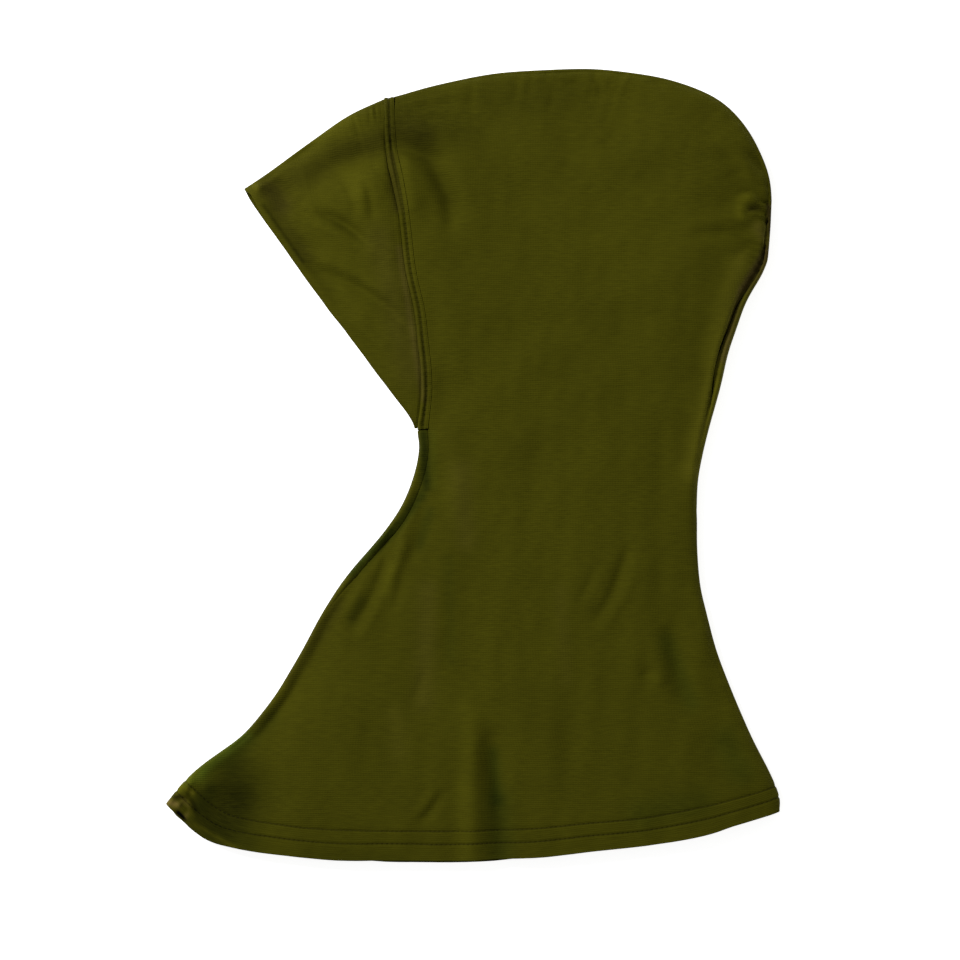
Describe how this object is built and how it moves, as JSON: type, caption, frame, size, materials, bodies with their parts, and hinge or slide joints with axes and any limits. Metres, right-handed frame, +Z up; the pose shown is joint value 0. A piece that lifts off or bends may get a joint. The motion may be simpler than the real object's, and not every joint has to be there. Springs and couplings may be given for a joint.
{
  "type": "hijab underscarf cap",
  "caption": "Full-cover jersey underscarf: a hood with a brow panel, a narrow neck and a flared bib with a turned hem, laid flat on its side.",
  "frame": {"origin": "on the surface that the cap lies on, below the middle of its outline", "axes": "+X from the face towards the back of the head, +Y from the hem towards the crown, +Z up from the surface through both layers of cloth"},
  "size_m": [0.3251, 0.4198, 0.0206],
  "materials": {
    "hood_jersey": "matte fine-knit olive jersey",
    "brow_jersey": "matte fine-knit olive jersey, doubled",
    "stitched_jersey": "matte olive jersey with rows of topstitching"
  },
  "bodies": {
    "root": {"left_side": "hood_jersey", "right_side": "hood_jersey", "brow_panel": "brow_jersey", "brow_seam": "stitched_jersey", "hem_band": "stitched_jersey"}
  },
  "joints": []
}
